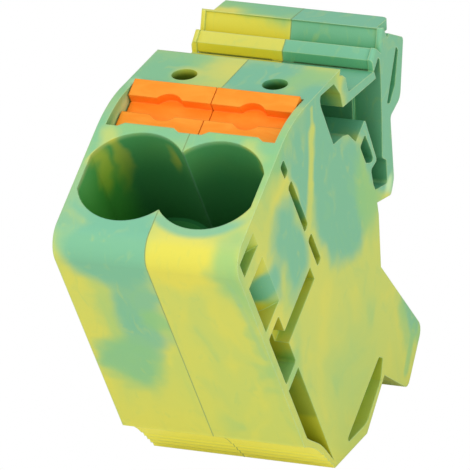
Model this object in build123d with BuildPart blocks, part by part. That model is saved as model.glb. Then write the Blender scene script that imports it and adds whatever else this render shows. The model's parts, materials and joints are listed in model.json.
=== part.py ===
from build123d import *
from math import cos, radians, sin, tan
import os

os.makedirs("parts", exist_ok=True)

# Twin-pole push-in tap-off block. Lengths are in millimetres.
# The side profile is drawn in entry coordinates: u runs backwards from the front face, w runs up along the
# conductor entry and is zero at the funnel mouths. As mounted, the entry leans forward by ENTRY_TILT, so that
# the underside is level. +X is to the right, +Y to the back, +Z up, and x = 0 is the seam between the halves.
ENTRY_TILT = 28.2

# Moulded housing
POLE_WIDTH = 10.4
SKIN = 1.0
FRONT_HEIGHT = 31.0
NOSE_RADIUS = 2.7
TOP_FLAT_END = 15.25
CROWN_TANGENT = 3.6
BACK_SLOPE = 26.5
BACK_EDGE_U = 30.8
COVE_BOTTOM = (3.76, -39.5)
COVE_MIDDLE = (2.55, -35.6)
COVE_STEPS = 4
COVE_STEP_SHARE = 0.2
COVE_DIRECTION = (-0.28, 1.0)
UNDERSIDE_LENGTH = 8.9
FLANGE_ROUND = 0.6
FLANGE_FOOT_ROUND = 1.4
WALL_FOOT_ROUND = 1.6
LATCH_BACK_ROUND = 1.3
LATCH_TIP_ROUND = 1.0
PLATE_THICKNESS = 0.65

# Conductor entry
FUNNEL_X = 4.39
FUNNEL_U = 9.65
FUNNEL_RADIUS = 5.8
FUNNEL_FLAT_X = 9.75
FUNNEL_DEPTH = 14.2
FUNNEL_TUBE_WALL = 1.6
CONE_DEPTH = 1.8
WIRE_BORE_RADIUS = 3.1
CLAMP_ROOF_W = -18.6

# Release buttons
BUTTON_TOP_W = -1.8
BUTTON_FRONT_U = 16.7
BUTTON_BACK_U = 23.6
BUTTON_WIDTH = 9.3
BUTTON_CENTRE_X = 4.7
BUTTON_POCKET_X = 9.55
BUTTON_HEAD_DEPTH = 3.2
BUTTON_TRAVEL = 2.0
BUTTON_CLEARANCE = 0.15
GROOVE_FRONT_U = 19.2
GROOVE_BACK_U = 21.4
GROOVE_DEPTH = 1.1
PIT_RADIUS = 1.8
STEM_WIDTH = 6.2
STEM_FRONT_U = 17.4
STEM_BACK_U = 21.5
FOOT_FRONT_U = 13.3
FOOT_NOSE_BACK_U = 15.5
FOOT_GAP = 0.3
FOOT_ROOF_GAP = 0.1
FOOT_THICKNESS = 1.3
LIP_FRONT_U = 15.95
LIP_BACK_U = 16.45
LIP_CENTRE_X = 4.75
LIP_WIDTH = 5.5
LIP_RAMP = 0.7

# Test holes in the back flat
TEST_HOLE_X = 5.14
TEST_HOLE_U = 26.2
TEST_HOLE_RADIUS = 1.36
TEST_HOLE_DEPTH = 2.0
TEST_BOSS_WALL = 0.9

# Marker carrier, rear wall and latch
CAP_END_LEFT = 9.05
CAP_END_RIGHT = 9.7
CAP_LIP = 0.35
CAP_CORNER_ROUND = 0.8
CARRIER_RIM = 0.6
RIM_RISE = 0.2
RIM_ROUND = 0.4
CAP_LOWER_SETBACK = 0.63
CAP_LOWER_DROP = 0.98
CAVITY_FLOOR_X = 1.2
CAVITY_ROUND = 0.3
FLANGE_POCKET_DEPTH = 0.8
REAR_CAVITY = (
    (24.95, -4.9), (25.2, -4.3), (25.6, -4.0), (28.72, -5.86), (29.2, -8.1), (28.8, -9.8), (36.5, -14.45),
    (36.6, -13.4), (38.2, -13.1), (38.4, -13.6), (37.29, -15.69), (34.86, -19.41), (32.46, -22.85),
    (33.04, -23.91), (31.71, -26.15), (29.12, -24.11), (29.1, -23.24), (29.64, -21.37), (31.35, -21.8),
    (31.85, -15.6), (28.8, -15.64), (27.9, -13.25), (26.9, -12.3), (24.7, -11.0),
)
REAR_PAD = ((36.85, -16.4), (36.4, -16.1), (33.9, -19.9), (34.55, -19.9))
REAR_PAD_END_X = 7.3
RIB_SLIT = ((29.2, -17.0), (30.9, -16.95), (30.95, -19.6), (30.8, -21.15), (29.9, -20.5), (29.2, -19.65))
FLANGE_POCKET = ((42.2, -16.0), (42.3, -16.79), (39.48, -19.2), (37.4, -19.68), (36.8, -19.11))

# Cored pockets of the side face
POCKET_FRONT_U = 1.0
POCKET_BACK_U = 4.2
UPPER_POCKET_BACK_U = 7.2
POCKET_UPPER_FLOOR_X = 6.4
POCKET_LOWER_FLOOR_X = 4.5
POCKET_ROUND = 0.35
SLOT_FRONT_U = 14.05
SLOT_WIDTH = 1.1
SLOT_DEPTH = 1.6
UPPER_POCKETS = ((-1.35, -3.45), (-5.35, -12.7))
MIDDLE_POCKET = (-13.9, -21.6)
LOWER_POCKET = (-22.6, -38.6)
TUBE_SLOTS = ((-1.6, -3.6), (-5.0, -12.4), (-13.8, -18.1))
LEDGE_SLOT = (-16.5, -18.5)
LEDGE_SLOT_BACK_U = 12.7
FOOT_POCKET_DEPTH = 1.8
FOOT_POCKET = (
    (6.93, -39.81), (18.73, -39.62), (19.37, -40.61), (17.56, -42.11), (12.63, -42.71), (11.78, -42.47),
)
COVE_INSIDE = ((0.92, -30.7), (1.8, -32.25), (2.8, -34.1), (3.5, -36.2), (4.1, -38.6))

# Metal parts
STRIP = 0.5
SPRING_WIDTH = 6.6
SPRING_BEND_U = 18.2
SPRING_BEND_W = -24.0
SPRING_BEND_RADIUS = 1.9
SPRING_UPPER_SLOPE = 14.0
SPRING_LOWER_SLOPE = 16.0
SPRING_TIP_GAP = 0.05
SPRING_HEEL_RUN = 9.0
BEND_CLEARANCE = 0.15
BAR_WIDTH = 7.0
BAR_THICKNESS = 1.6
BAR_FRONT_U = 5.3
BAR_ROOF_GAP = 0.4
BAR_KNEE_U = 19.4
BAR_TAIL = 4.0
BLADE_WIDTH = 12.0
BLADE_THICKNESS = 1.5
BLADE_REACH = 8.0
BLADE_SETBACK = 0.5
BLADE_TIP_CHAMFER = 0.45
RIVET_RADIUS = 1.1
RIVET_X = 3.6
RIVET_SETBACK = 2.2
FIT = 0.1
CUT_START = 1.0
PEG_RADIUS = 1.1
PEG_LENGTH = 2.0
PEG_ROOT = 0.5
PEG_PLACES = ((22.4, -38.0), (2.6, -10.0), (34.35, -22.3))

tilt = radians(ENTRY_TILT)
U_DIR = Vector(0, cos(tilt), sin(tilt))
W_DIR = Vector(0, -sin(tilt), cos(tilt))
underside_back = (
    COVE_BOTTOM[0] + UNDERSIDE_LENGTH * cos(tilt),
    COVE_BOTTOM[1] - UNDERSIDE_LENGTH * sin(tilt),
)
underside_mid_u = (COVE_BOTTOM[0] + underside_back[0]) / 2
underside_mid_w = (COVE_BOTTOM[1] + underside_back[1]) / 2
# The row's origin is the middle of the level underside, on the seam.
MOUTH_ORIGIN = -(U_DIR * underside_mid_u + W_DIR * underside_mid_w)


def side(x):
    """Plane of the side profile at a distance x from the seam; its axes are u and w."""
    return Plane(origin=MOUTH_ORIGIN + Vector(x, 0, 0), x_dir=U_DIR, z_dir=(1, 0, 0))


def level(w):
    """Plane square to the conductor entry at height w; its axes are x and u."""
    return Plane(origin=MOUTH_ORIGIN + W_DIR * w, x_dir=(1, 0, 0), z_dir=W_DIR)


def point(u, w, x=0):
    """Place in the row's frame of a point given in entry coordinates."""
    return MOUTH_ORIGIN + U_DIR * u + W_DIR * w + Vector(x, 0, 0)


def back_flat(u):
    """Height of the sloping back flat at u."""
    return -(u - TOP_FLAT_END - CROWN_TANGENT) * tan(radians(BACK_SLOPE))


# The flat top turns into the back flat over an arc.
crown_end = (
    TOP_FLAT_END + CROWN_TANGENT * (1 + cos(radians(BACK_SLOPE))),
    -CROWN_TANGENT * sin(radians(BACK_SLOPE)),
)
back_edge = (BACK_EDGE_U, back_flat(BACK_EDGE_U))

# Bead on the back of the web under the plate's back edge
bead_top = (30.15, -6.4)
bead_shoulder = (30.7, -6.85)
bead_back = (31.2, -7.9)
bead_foot = (30.8, -9.0)

# Stepped marker carrier: floor of the channel, lower step, groove, upper step and cap.
channel_front = (30.85, -9.75)
channel_back = (36.5, -13.35)
step_front = (37.05, -12.15)
step_back = (38.5, -11.88)
groove_bottom = (38.9, -13.1)
cap_front = (40.8, -11.45)
cap_back = (43.85, -13.33)
cap_lower_back = (cap_back[0] - CAP_LOWER_SETBACK, cap_back[1] - CAP_LOWER_DROP)
wall_top_back = (41.75, -13.35)

# Rear flange, rear wall, notch, lower latch foot and underside, from the top down.
flange_upper = (44.1, -16.8)
flange_lower = (39.6, -21.45)
flange_root = (36.6, -20.95)
wall_lower_back = (33.2, -27.2)
wall_lower_front = (31.6, -28.0)
notch = (28.6, -25.6)
abutment_top = (28.1, -27.0)
abutment_bottom = (25.05, -32.1)
latch_back = (28.42, -46.65)
latch_tip = (21.75, -48.99)
latch_root = (18.5, -42.5)

# Fine steps across the lower half of the cove, from the underside up; each leans forward, then steps forward
cove_steps = []
rise = (COVE_MIDDLE[1] - COVE_BOTTOM[1]) / COVE_STEPS
run = (COVE_MIDDLE[0] - COVE_BOTTOM[0]) / COVE_STEPS
for count in range(COVE_STEPS):
    top = (COVE_BOTTOM[0] + run * (count + COVE_STEP_SHARE), COVE_BOTTOM[1] + rise * (count + 1))
    cove_steps.append(top)
    if count < COVE_STEPS - 1:
        cove_steps.append((COVE_BOTTOM[0] + run * (count + 1), top[1]))


def outline():
    """Outer side profile of the housing."""
    with BuildLine() as profile:
        Line((0, -FRONT_HEIGHT), (0, -NOSE_RADIUS))
        RadiusArc((0, -NOSE_RADIUS), (NOSE_RADIUS, 0), NOSE_RADIUS)
        Line((NOSE_RADIUS, 0), (TOP_FLAT_END, 0))
        TangentArc((TOP_FLAT_END, 0), crown_end, tangent=(1, 0))
        Polyline(
            crown_end, back_edge, bead_top, bead_shoulder, bead_back, bead_foot, channel_front, channel_back,
            step_front, step_back, groove_bottom, cap_front, cap_back, cap_lower_back, wall_top_back,
            flange_upper, flange_lower, flange_root, wall_lower_back, wall_lower_front, notch, abutment_top,
            abutment_bottom, latch_back, latch_tip, latch_root, underside_back, COVE_BOTTOM,
        )
        Polyline(COVE_BOTTOM, *cove_steps, COVE_MIDDLE)
        TangentArc(COVE_MIDDLE, (0, -FRONT_HEIGHT), tangent=COVE_DIRECTION)
    make_face(profile.edges())


def round_corners(corners, radius):
    """Rounds the sketch's corners that lie at the given points."""
    near = [v for v in vertices() if min((v.center() - Vector(*c)).length for c in corners) < 0.01]
    fillet(near, radius)


def along(place, distance):
    """Moves a profile point backwards, level in the mounted block."""
    return (place[0] + distance * cos(tilt), place[1] - distance * sin(tilt))


def above(place, distance):
    """Moves a profile point straight up in the mounted block."""
    return (place[0] + distance * sin(tilt), place[1] + distance * cos(tilt))


def sunk(place):
    """A point of the carrier's profile moved into the plastic by the rise of the end rim."""
    return (place[0] + RIM_RISE * sin(tilt), place[1] - RIM_RISE * cos(tilt))


def lifted(place):
    """A point of the carrier's profile moved clear of the plastic."""
    return (place[0] - CUT_START, place[1] + CUT_START)


# The cap stops short of the rim, behind a thin lip.
cap_back_middle = ((cap_back[0] + cap_lower_back[0]) / 2, (cap_back[1] + cap_lower_back[1]) / 2)
lip_back_u = cap_front[0] + CAP_LIP
step_top_middle = ((step_front[0] + step_back[0]) / 2, (step_front[1] + step_back[1]) / 2)
ridge_middle = ((groove_bottom[0] + cap_front[0]) / 2, (groove_bottom[1] + cap_front[1]) / 2)
rim_middles = (step_top_middle, ridge_middle)


def cap_end():
    """Side profile of what is cut off at an end of the cap."""
    with BuildLine() as profile:
        Polyline(
            (lip_back_u, cap_front[1] + CUT_START), (cap_back[0] + CUT_START, cap_front[1] + CUT_START),
            (cap_back[0] + CUT_START, cap_lower_back[1] - FIT), (cap_lower_back[0], cap_lower_back[1] - FIT),
            wall_top_back, (lip_back_u, wall_top_back[1]), close=True,
        )
    make_face(profile.edges())


def edges_near(places):
    """The part's edges whose middles lie closest to the given places."""
    return [min(edges(), key=lambda edge: (edge.center() - place).length) for place in places]


# Clamping spring: a hairpin of two straight legs joined by a bend; both legs fall towards the front.
upper_slope = radians(SPRING_UPPER_SLOPE)
lower_slope = radians(SPRING_LOWER_SLOPE)
bend = (SPRING_BEND_U, SPRING_BEND_W)
bend_top = (bend[0] - SPRING_BEND_RADIUS * sin(upper_slope), bend[1] + SPRING_BEND_RADIUS * cos(upper_slope))
bend_bottom = (
    bend[0] + SPRING_BEND_RADIUS * sin(lower_slope),
    bend[1] - SPRING_BEND_RADIUS * cos(lower_slope),
)
mean_slope = (upper_slope + lower_slope) / 2
bend_back = (bend[0] + SPRING_BEND_RADIUS * cos(mean_slope), bend[1] + SPRING_BEND_RADIUS * sin(mean_slope))
bar_back_u = BAR_FRONT_U + BAR_THICKNESS
bar_top = CLAMP_ROOF_W - BAR_ROOF_GAP
upper_run = bend_top[0] - bar_back_u - STRIP / 2 * sin(upper_slope) - SPRING_TIP_GAP
spring_tip = (bend_top[0] - upper_run, bend_top[1] - upper_run * tan(upper_slope))
spring_heel = (bend_bottom[0] - SPRING_HEEL_RUN, bend_bottom[1] - SPRING_HEEL_RUN * tan(lower_slope))


def bar_floor(u):
    """Height of the current bar's floor, which carries the lower leg of the spring."""
    return bend_bottom[1] - STRIP / 2 / cos(lower_slope) - (bend_bottom[0] - u) * tan(lower_slope)


# Current bar: upright, sloping floor, knee, and a tail that is level in the mounted block.
knee = (BAR_KNEE_U, bar_floor(BAR_KNEE_U))
tail_top = along(knee, BAR_TAIL)
tail_bottom = above(tail_top, -BAR_THICKNESS)
knee_turn = lower_slope + tilt
knee_bottom = above(knee, -BAR_THICKNESS)
knee_bottom = along(knee_bottom, -BAR_THICKNESS * tan(knee_turn / 2))
bar_foot_w = bar_floor(BAR_FRONT_U) - BAR_THICKNESS / cos(lower_slope)

# Contact blade: lies on the tails of both bars and comes out of the abutment at the back.
blade_front = along(knee, BLADE_SETBACK)
abutment_run = (abutment_top[0] - blade_front[0]) * cos(tilt) - (abutment_top[1] - blade_front[1]) * sin(tilt)
blade_length = abutment_run + BLADE_REACH


def bar_outline():
    """Side profile of a current bar."""
    with BuildLine() as profile:
        Polyline(
            (BAR_FRONT_U, bar_top), (bar_back_u, bar_top), (bar_back_u, bar_floor(bar_back_u)), knee,
            tail_top, tail_bottom, knee_bottom, (BAR_FRONT_U, bar_foot_w), close=True,
        )
    make_face(profile.edges())


# Foot of the release button: its nose stands just above the upper leg of the spring.
foot_top = CLAMP_ROOF_W - FOOT_ROOF_GAP
foot_underside = foot_top - FOOT_THICKNESS


def leg_top(u):
    """Height of the top face of the spring's upper leg."""
    return bend_top[1] - (bend_top[0] - u) * tan(upper_slope) + STRIP / 2 / cos(upper_slope)


# What both moulded halves have in common, drawn for the right half.
chamber_outer_x = FUNNEL_X + BAR_WIDTH / 2 + FIT
pocket_back_u = BUTTON_BACK_U + BUTTON_CLEARANCE
button_pocket_w = BUTTON_TOP_W - BUTTON_HEAD_DEPTH - BUTTON_TRAVEL - BUTTON_CLEARANCE
stem_slot_front = STEM_FRONT_U - BUTTON_CLEARANCE
stem_slot_back = STEM_BACK_U + BUTTON_CLEARANCE
test_mouth = (TEST_HOLE_U, back_flat(TEST_HOLE_U))
tube_radius = FUNNEL_RADIUS + FUNNEL_TUBE_WALL
latch_inner = (latch_back[0] - SKIN, latch_back[1] + SKIN)

with BuildPart() as common_half:
    with BuildSketch(side(0)):
        outline()
        round_corners((flange_upper, flange_root), FLANGE_ROUND)
        round_corners((flange_lower,), FLANGE_FOOT_ROUND)
        round_corners((wall_lower_back,), WALL_FOOT_ROUND)
        round_corners((wall_lower_front,), FLANGE_ROUND)
        round_corners((latch_back,), LATCH_BACK_ROUND)
        round_corners((latch_tip,), LATCH_TIP_ROUND)
    extrude(amount=POLE_WIDTH)

    # Cored pocket behind the buttons, open to the side and closed by the web at the seam
    with BuildSketch(side(CAVITY_FLOOR_X)):
        with BuildLine():
            Polyline(*REAR_CAVITY, close=True)
        make_face()
        round_corners(REAR_CAVITY[9:], CAVITY_ROUND)
    extrude(amount=POLE_WIDTH, mode=Mode.SUBTRACT)
    with BuildSketch(side(CAVITY_FLOOR_X)):
        with BuildLine():
            Polyline(*RIB_SLIT, close=True)
        make_face()
        round_corners(RIB_SLIT, CAVITY_ROUND)
    extrude(amount=POLE_WIDTH, mode=Mode.SUBTRACT)

    # Raised pad on the inner face of the rear wall
    with BuildSketch(side(0)):
        with BuildLine():
            Polyline(*REAR_PAD, close=True)
        make_face()
    extrude(amount=REAR_PAD_END_X)

    # The faces of the two steps lie a little below the rim at their end
    with BuildSketch(side(0)):
        with BuildLine():
            Polyline(
                *[sunk(place) for place in (channel_back, step_front, step_back, groove_bottom, cap_front)],
                lifted(cap_front), lifted(step_front), close=True,
            )
        make_face()
    extrude(amount=POLE_WIDTH - CARRIER_RIM, mode=Mode.SUBTRACT)

    # Guide ring of the test hole, under the back flat
    ring_plane = Plane(
        origin=point(*test_mouth, TEST_HOLE_X),
        x_dir=(1, 0, 0),
        z_dir=U_DIR * sin(radians(BACK_SLOPE)) + W_DIR * cos(radians(BACK_SLOPE)),
    )
    with BuildSketch(ring_plane.offset(-PLATE_THICKNESS / 2)):
        Circle(TEST_HOLE_RADIUS + TEST_BOSS_WALL)
    extrude(amount=-(TEST_HOLE_DEPTH - PLATE_THICKNESS / 2))
    with BuildSketch(ring_plane.offset(CUT_START)):
        Circle(TEST_HOLE_RADIUS)
    extrude(amount=-(TEST_HOLE_DEPTH + CUT_START), mode=Mode.SUBTRACT)

    # Funnel, cone and wire bore of the conductor entry
    with BuildSketch(level(CUT_START)):
        with Locations((FUNNEL_X, FUNNEL_U)):
            Circle(FUNNEL_RADIUS)
        with Locations((FUNNEL_FLAT_X / 2, FUNNEL_U)):
            Rectangle(FUNNEL_FLAT_X, 2 * tube_radius, mode=Mode.INTERSECT)
    extrude(amount=-(FUNNEL_DEPTH + CUT_START), mode=Mode.SUBTRACT)
    with Locations(level(-FUNNEL_DEPTH - CONE_DEPTH / 2)):
        with Locations((FUNNEL_X, FUNNEL_U)):
            Cone(WIRE_BORE_RADIUS, FUNNEL_FLAT_X - FUNNEL_X, CONE_DEPTH, mode=Mode.SUBTRACT)
    with BuildSketch(level(-FUNNEL_DEPTH - CONE_DEPTH)):
        with Locations((FUNNEL_X, FUNNEL_U)):
            Circle(WIRE_BORE_RADIUS)
    extrude(amount=CLAMP_ROOF_W + FUNNEL_DEPTH + CONE_DEPTH, mode=Mode.SUBTRACT)

    # Button pocket across the seam, with a shallow guide lip at its front
    with BuildSketch(level(CUT_START)):
        with BuildLine():
            Polyline(
                (0, LIP_FRONT_U), (LIP_CENTRE_X - LIP_WIDTH / 2 - LIP_RAMP, LIP_FRONT_U),
                (LIP_CENTRE_X - LIP_WIDTH / 2, LIP_BACK_U), (LIP_CENTRE_X + LIP_WIDTH / 2, LIP_BACK_U),
                (LIP_CENTRE_X + LIP_WIDTH / 2 + LIP_RAMP, LIP_FRONT_U), (BUTTON_POCKET_X, LIP_FRONT_U),
                (BUTTON_POCKET_X, pocket_back_u), (0, pocket_back_u), close=True,
            )
        make_face()
    extrude(amount=button_pocket_w - CUT_START, mode=Mode.SUBTRACT)
    with BuildSketch(level(button_pocket_w)):
        with Locations((BUTTON_CENTRE_X, (stem_slot_front + stem_slot_back) / 2)):
            Rectangle(STEM_WIDTH + 2 * BUTTON_CLEARANCE, stem_slot_back - stem_slot_front)
    extrude(amount=CLAMP_ROOF_W - button_pocket_w, mode=Mode.SUBTRACT)

    # Clamp chamber around the bar and the spring, with the peg that carries the bend
    with BuildSketch(side(0)):
        with BuildLine():
            Polyline(
                (BAR_FRONT_U, CLAMP_ROOF_W), (stem_slot_back, CLAMP_ROOF_W),
                (stem_slot_back, above(along(knee, BAR_TAIL / 2), BLADE_THICKNESS)[1]), tail_top, tail_bottom,
                knee_bottom, (BAR_FRONT_U, bar_foot_w), close=True,
            )
        make_face()
    extrude(amount=chamber_outer_x, mode=Mode.SUBTRACT)
    with BuildSketch(side(FUNNEL_X - SPRING_WIDTH / 2)):
        with Locations(bend):
            Circle(SPRING_BEND_RADIUS - STRIP / 2 - BEND_CLEARANCE)
    extrude(amount=chamber_outer_x - FUNNEL_X + SPRING_WIDTH / 2)

    # Slot of the contact blade
    with BuildSketch(side(0)):
        with BuildLine():
            Polyline(
                along(blade_front, -FIT), along(blade_front, blade_length),
                above(along(blade_front, blade_length), BLADE_THICKNESS + FIT),
                above(along(blade_front, -FIT), BLADE_THICKNESS + FIT), close=True,
            )
        make_face()
    extrude(amount=BLADE_WIDTH / 2 + FIT, mode=Mode.SUBTRACT)

    # Cored pockets down the front of the side face, the upper ones round the funnel tube
    with BuildSketch(side(POCKET_UPPER_FLOOR_X)):
        for top, bottom in UPPER_POCKETS:
            with Locations(((POCKET_FRONT_U + UPPER_POCKET_BACK_U) / 2, (top + bottom) / 2)):
                Rectangle(UPPER_POCKET_BACK_U - POCKET_FRONT_U, top - bottom)
    extrude(amount=POLE_WIDTH, mode=Mode.SUBTRACT)
    with BuildSketch(level(UPPER_POCKETS[0][0] + FIT)):
        with Locations((FUNNEL_X, FUNNEL_U)):
            Circle(tube_radius)
            Circle(FUNNEL_RADIUS, mode=Mode.SUBTRACT)
        with Locations(((POLE_WIDTH + POCKET_UPPER_FLOOR_X - FIT) / 2, UPPER_POCKET_BACK_U / 2)):
            Rectangle(POLE_WIDTH - POCKET_UPPER_FLOOR_X + FIT, UPPER_POCKET_BACK_U, mode=Mode.INTERSECT)
    extrude(amount=UPPER_POCKETS[1][1] - UPPER_POCKETS[0][0] - 2 * FIT)
    with BuildSketch(side(POCKET_LOWER_FLOOR_X)):
        with Locations(((POCKET_FRONT_U + POCKET_BACK_U) / 2, (MIDDLE_POCKET[0] + MIDDLE_POCKET[1]) / 2)):
            RectangleRounded(
                POCKET_BACK_U - POCKET_FRONT_U, MIDDLE_POCKET[0] - MIDDLE_POCKET[1], POCKET_ROUND
            )
        with BuildLine():
            Polyline((POCKET_FRONT_U, COVE_INSIDE[0][1]), (POCKET_FRONT_U, LOWER_POCKET[0]),
                     (POCKET_BACK_U, LOWER_POCKET[0]), COVE_INSIDE[-1])
            Spline(COVE_INSIDE[-1], *COVE_INSIDE[-2:0:-1], (POCKET_FRONT_U, COVE_INSIDE[0][1]))
        make_face()
    extrude(amount=POLE_WIDTH, mode=Mode.SUBTRACT)

    # Narrow slots beside the tube, under it, and in the foot
    with BuildSketch(side(POLE_WIDTH - SLOT_DEPTH)):
        for top, bottom in TUBE_SLOTS:
            with Locations((SLOT_FRONT_U + SLOT_WIDTH / 2, (top + bottom) / 2)):
                RectangleRounded(SLOT_WIDTH, top - bottom, POCKET_ROUND)
        with Locations(((POCKET_BACK_U + LEDGE_SLOT_BACK_U) / 2, (LEDGE_SLOT[0] + LEDGE_SLOT[1]) / 2)):
            Rectangle(LEDGE_SLOT_BACK_U - POCKET_BACK_U, LEDGE_SLOT[0] - LEDGE_SLOT[1])
    extrude(amount=POLE_WIDTH, mode=Mode.SUBTRACT)
    with BuildSketch(side(POLE_WIDTH - FOOT_POCKET_DEPTH)):
        with BuildLine():
            Polyline(*FOOT_POCKET, close=True)
        make_face()
        round_corners(FOOT_POCKET, POCKET_ROUND)
    extrude(amount=POLE_WIDTH, mode=Mode.SUBTRACT)

    # Shallow recess in the end of the flange
    with BuildSketch(side(POLE_WIDTH - FLANGE_POCKET_DEPTH)):
        with BuildLine():
            Polyline(*FLANGE_POCKET, close=True)
        make_face()
        round_corners(FLANGE_POCKET, POCKET_ROUND / 2)
    extrude(amount=POLE_WIDTH, mode=Mode.SUBTRACT)

# Right half, with the locating pegs on its seam face
with BuildPart() as housing_right:
    add(common_half.part)
    with BuildSketch(side(PEG_ROOT)):
        with Locations(*PEG_PLACES):
            Circle(PEG_RADIUS)
    extrude(amount=-PEG_LENGTH - PEG_ROOT)
    with BuildSketch(side(POLE_WIDTH + CUT_START)):
        cap_end()
    extrude(amount=CAP_END_RIGHT - POLE_WIDTH - CUT_START, mode=Mode.SUBTRACT)
    fillet(edges_near((point(*cap_back_middle, CAP_END_RIGHT),)), CAP_CORNER_ROUND)
    fillet(edges_near([point(*place, POLE_WIDTH) for place in rim_middles]), RIM_ROUND)
housing_right.part.label = "housing_right"
export_step(housing_right.part, "parts/housing_right.step")

# Left half, with the sockets of the pegs and the shorter cap of the marker carrier
with BuildPart() as housing_left:
    mirror(common_half.part, about=Plane.YZ)
    with BuildSketch(side(0)):
        with Locations(*PEG_PLACES):
            Circle(PEG_RADIUS + FIT)
    extrude(amount=-PEG_LENGTH - FIT, mode=Mode.SUBTRACT)
    with BuildSketch(side(-CAP_END_LEFT)):
        cap_end()
    extrude(amount=CAP_END_LEFT - POLE_WIDTH - CUT_START, mode=Mode.SUBTRACT)
    fillet(edges_near([point(*place, -POLE_WIDTH) for place in rim_middles]), RIM_ROUND)
housing_left.part.label = "housing_left"
export_step(housing_left.part, "parts/housing_left.step")

# Release button of the right pole: head with its cross groove and round pit, stem, and forward foot
with BuildPart() as release_button_right:
    with BuildSketch(level(BUTTON_TOP_W)):
        with Locations((BUTTON_CENTRE_X, (BUTTON_FRONT_U + BUTTON_BACK_U) / 2)):
            Rectangle(BUTTON_WIDTH, BUTTON_BACK_U - BUTTON_FRONT_U)
    extrude(amount=-BUTTON_HEAD_DEPTH)
    with BuildSketch(level(BUTTON_TOP_W)):
        with Locations((BUTTON_CENTRE_X, (GROOVE_FRONT_U + GROOVE_BACK_U) / 2)):
            Rectangle(BUTTON_WIDTH, GROOVE_BACK_U - GROOVE_FRONT_U)
            Circle(PIT_RADIUS)
    extrude(amount=-GROOVE_DEPTH, mode=Mode.SUBTRACT)
    with BuildSketch(side(BUTTON_CENTRE_X - STEM_WIDTH / 2)):
        with BuildLine():
            Polyline(
                (STEM_FRONT_U, BUTTON_TOP_W - BUTTON_HEAD_DEPTH + FIT),
                (STEM_BACK_U, BUTTON_TOP_W - BUTTON_HEAD_DEPTH + FIT),
                (STEM_BACK_U, foot_underside), (FOOT_NOSE_BACK_U, foot_underside),
                (FOOT_NOSE_BACK_U, leg_top(FOOT_NOSE_BACK_U) + FOOT_GAP),
                (FOOT_FRONT_U, leg_top(FOOT_FRONT_U) + FOOT_GAP), (FOOT_FRONT_U, foot_top),
                (STEM_FRONT_U, foot_top), close=True,
            )
        make_face()
    extrude(amount=STEM_WIDTH)
release_button_right.part.label = "release_button_right"
export_step(release_button_right.part, "parts/release_button_right.step")

with BuildPart() as release_button_left:
    mirror(release_button_right.part, about=Plane.YZ)
release_button_left.part.label = "release_button_left"
export_step(release_button_left.part, "parts/release_button_left.step")

# Clamping springs
with BuildPart() as clamp_spring_right:
    with BuildSketch(side(FUNNEL_X - SPRING_WIDTH / 2)):
        with BuildLine():
            Line(spring_tip, bend_top)
            ThreePointArc(bend_top, bend_back, bend_bottom)
            Line(bend_bottom, spring_heel)
        trace(line_width=STRIP)
    extrude(amount=SPRING_WIDTH)
clamp_spring_right.part.label = "clamp_spring_right"
export_step(clamp_spring_right.part, "parts/clamp_spring_right.step")

with BuildPart() as clamp_spring_left:
    mirror(clamp_spring_right.part, about=Plane.YZ)
clamp_spring_left.part.label = "clamp_spring_left"
export_step(clamp_spring_left.part, "parts/clamp_spring_left.step")

# Current bars, with the hole of the rivet in the tail
rivet_place = along(knee, RIVET_SETBACK)
rivet_plane = Plane(origin=point(*rivet_place, 0), x_dir=(1, 0, 0), z_dir=(0, 0, 1))
with BuildPart() as current_bar_right:
    with BuildSketch(side(FUNNEL_X - BAR_WIDTH / 2)):
        bar_outline()
    extrude(amount=BAR_WIDTH)
    with BuildSketch(rivet_plane):
        with Locations((RIVET_X, 0)):
            Circle(RIVET_RADIUS)
    extrude(amount=-BAR_THICKNESS, mode=Mode.SUBTRACT)
current_bar_right.part.label = "current_bar_right"
export_step(current_bar_right.part, "parts/current_bar_right.step")

with BuildPart() as current_bar_left:
    mirror(current_bar_right.part, about=Plane.YZ)
current_bar_left.part.label = "current_bar_left"
export_step(current_bar_left.part, "parts/current_bar_left.step")

# Contact blade shared by both poles, and its two flush rivets
with BuildPart() as contact_blade:
    with BuildSketch(side(-BLADE_WIDTH / 2)):
        with BuildLine():
            Polyline(
                blade_front, along(blade_front, blade_length - BLADE_TIP_CHAMFER),
                above(along(blade_front, blade_length), BLADE_TIP_CHAMFER),
                above(along(blade_front, blade_length), BLADE_THICKNESS - BLADE_TIP_CHAMFER),
                above(along(blade_front, blade_length - BLADE_TIP_CHAMFER), BLADE_THICKNESS),
                above(blade_front, BLADE_THICKNESS), close=True,
            )
        make_face()
    extrude(amount=BLADE_WIDTH)
    with BuildSketch(rivet_plane):
        with Locations((RIVET_X, 0), (-RIVET_X, 0)):
            Circle(RIVET_RADIUS)
    extrude(amount=BLADE_THICKNESS, mode=Mode.SUBTRACT)
contact_blade.part.label = "contact_blade"
export_step(contact_blade.part, "parts/contact_blade.step")

with BuildPart() as contact_rivets:
    with BuildSketch(rivet_plane.offset(-BAR_THICKNESS)):
        with Locations((RIVET_X, 0), (-RIVET_X, 0)):
            Circle(RIVET_RADIUS)
    extrude(amount=BAR_THICKNESS + BLADE_THICKNESS)
contact_rivets.part.label = "contact_rivets"
export_step(contact_rivets.part, "parts/contact_rivets.step")
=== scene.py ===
import json
import math

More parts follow.
